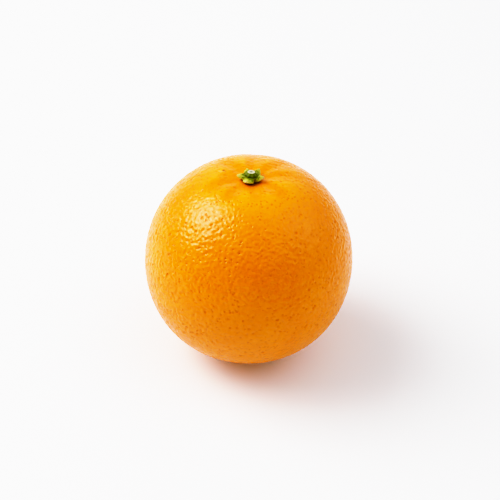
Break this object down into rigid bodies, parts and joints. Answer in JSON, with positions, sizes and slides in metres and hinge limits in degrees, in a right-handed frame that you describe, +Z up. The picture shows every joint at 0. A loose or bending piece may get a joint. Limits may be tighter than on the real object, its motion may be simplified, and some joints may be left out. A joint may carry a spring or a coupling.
{
  "type": "orange",
  "caption": "Whole fresh orange: round dimpled peel, green star-shaped calyx and short cut stem stub in a shallow dip on top, resting on a small flat spot.",
  "frame": {"origin": "middle of the flat spot at the blossom end, on the surface that the orange rests on", "axes": "+Z up through the stem end, +X to the right of someone who looks at the front along +Y"},
  "size_m": [0.0734, 0.0739, 0.0749],
  "materials": {
    "peel": "satin",
    "calyx": "matte",
    "stem": "matte"
  },
  "bodies": {
    "root": {"fruit": "peel", "calyx": "calyx", "stem_stub": "stem"}
  },
  "joints": []
}
